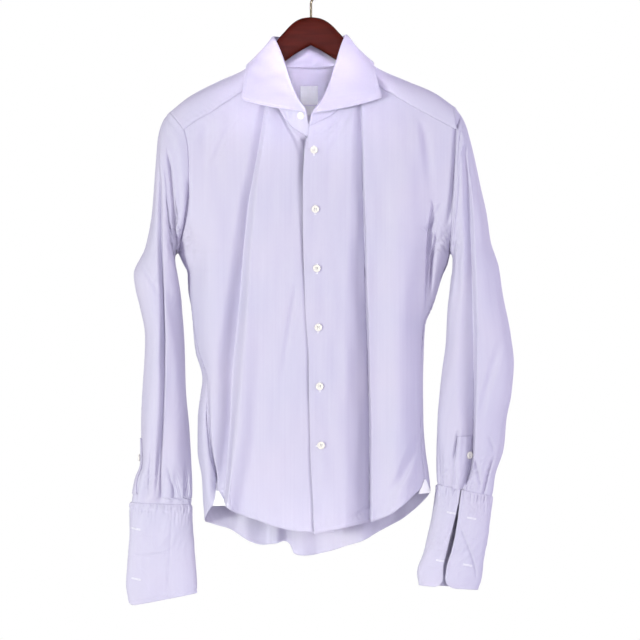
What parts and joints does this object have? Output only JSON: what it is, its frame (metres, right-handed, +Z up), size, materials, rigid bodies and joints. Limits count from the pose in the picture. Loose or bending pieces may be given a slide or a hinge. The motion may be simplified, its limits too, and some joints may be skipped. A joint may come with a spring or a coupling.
{
  "type": "long sleeve dress shirt on a hanger",
  "caption": "Long sleeve dress shirt with a cutaway collar, open at the neck, and turned-down double cuffs, hanging on a contoured wooden hanger",
  "frame": {"origin": "inner top of the hanger's hook, where it rests on a rail", "axes": "+Z up, the shirt's front faces -Y, the wearer's left is at +X"},
  "size_m": [0.5912, 0.1442, 0.9694],
  "materials": {
    "shirting": "fine lilac and white micro stripe, smooth cotton poplin, soft sheen",
    "white_cloth": "plain white cotton",
    "label_cloth": "smooth woven label, bare",
    "button_pearl": "off-white pearl, glossy, four holes",
    "hanger_wood": "dark mahogany stain under satin lacquer",
    "hook_steel": "bright plated wire"
  },
  "bodies": {
    "root": {"front_left": "shirting", "front_right": "shirting", "back": "shirting", "yoke": "shirting", "sleeve_left": "shirting", "sleeve_right": "shirting", "sleeve_placket_left": "shirting", "sleeve_placket_right": "shirting", "cuff_left": "shirting", "cuff_right": "shirting", "collar_band": "shirting", "collar_leaf": "shirting", "gusset_left": "white_cloth", "gusset_right": "white_cloth", "label_main": "label_cloth", "label_small": "label_cloth", "hanger_wood": "hanger_wood", "hanger_hook": "hook_steel", "button_band": "button_pearl", "button_front_1": "button_pearl", "button_front_2": "button_pearl", "button_front_3": "button_pearl", "button_front_4": "button_pearl", "button_front_5": "button_pearl", "button_front_6": "button_pearl", "button_sleeve_left": "button_pearl", "button_sleeve_right": "button_pearl"}
  },
  "joints": []
}
